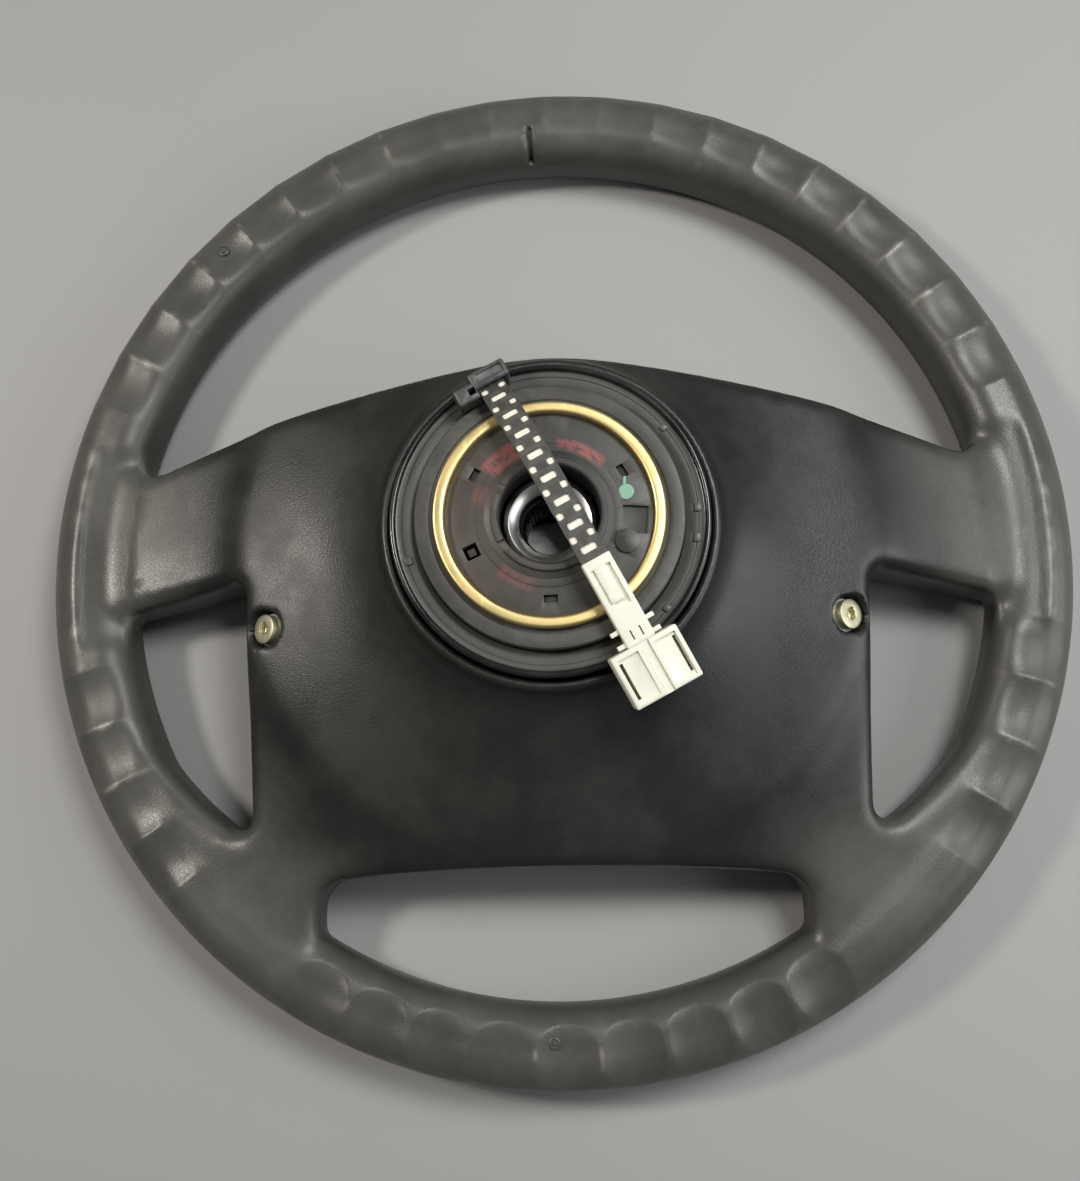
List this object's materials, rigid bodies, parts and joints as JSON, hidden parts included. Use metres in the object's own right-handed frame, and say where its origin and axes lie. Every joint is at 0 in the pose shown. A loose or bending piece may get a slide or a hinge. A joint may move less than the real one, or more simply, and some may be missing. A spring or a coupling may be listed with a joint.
{
  "type": "car steering wheel",
  "caption": "Foam-moulded car steering wheel lying face down, with cast skeleton, column hub, bag module, spoke horn switches and a rear contact unit with flat lead and connector.",
  "frame": {"origin": "on the steering axis, in the plane that the front of the rim rests on", "axes": "+Z along the steering axis towards the column, +Y towards twelve o'clock on the rim, +X to the right when seen from the column side"},
  "size_m": [0.39, 0.39, 0.0951],
  "materials": {
    "foam": "grained soft foam skin",
    "cast_alloy": "as cast",
    "steel": "turned and pressed",
    "screw_zinc": "pale yellow zinc",
    "brass": "turned",
    "unit_black": "moulded",
    "unit_grey": "moulded",
    "lead_black": "flexible ladder guard",
    "connector_white": "moulded",
    "ribbon": "wound flat cable",
    "cover_skin": "grained soft cover",
    "pressed_steel": "black coated",
    "bag_cloth": "folded woven cloth",
    "horn_plastic": "moulded",
    "contact_bronze": "spring strip"
  },
  "bodies": {
    "wheel": {"foam_moulding": "foam", "armature": "cast_alloy", "column_insert": "steel", "rotor_base": "unit_black", "rotor_cover": "unit_grey", "slip_ring": "brass", "ribbon_coil": "ribbon", "front_cover": "cover_skin", "module_pan": "pressed_steel", "gas_generator": "cast_alloy", "retainer_ring": "pressed_steel", "retainer_nuts": "steel", "cushion_pack": "bag_cloth", "side_screw_right": "screw_zinc", "side_screw_left": "screw_zinc", "horn_housing_right": "horn_plastic", "horn_bezel_right": "horn_plastic", "horn_plate_right": "contact_bronze", "horn_leaf_right": "contact_bronze", "horn_housing_left": "horn_plastic", "horn_bezel_left": "horn_plastic", "horn_plate_left": "contact_bronze", "horn_leaf_left": "contact_bronze"},
    "contact_stator": {"stator_ring": "unit_black", "lead_clip": "unit_black", "lead_strap": "lead_black", "connector_stem": "connector_white", "connector_head": "connector_white"},
    "horn_right": {"horn_button_right": "horn_plastic"},
    "horn_left": {"horn_button_left": "horn_plastic"}
  },
  "joints": [
    {"name": "contact_turn", "type": "hinge", "parent": "wheel", "child": "contact_stator", "pos_m": [0, 0, 0.075], "axis": [0, 0, 1], "range_deg": [-900, 900]},
    {"name": "horn_right_press", "type": "slide", "parent": "wheel", "child": "horn_right", "axis": [0, 0, 1], "range_m": [0, 0.002], "stiffness_N_per_m": 2000, "springref_m": -0.002, "deforming": ["horn_leaf_right"]},
    {"name": "horn_left_press", "type": "slide", "parent": "wheel", "child": "horn_left", "axis": [0, 0, 1], "range_m": [0, 0.002], "stiffness_N_per_m": 2000, "springref_m": -0.002, "deforming": ["horn_leaf_left"]}
  ]
}
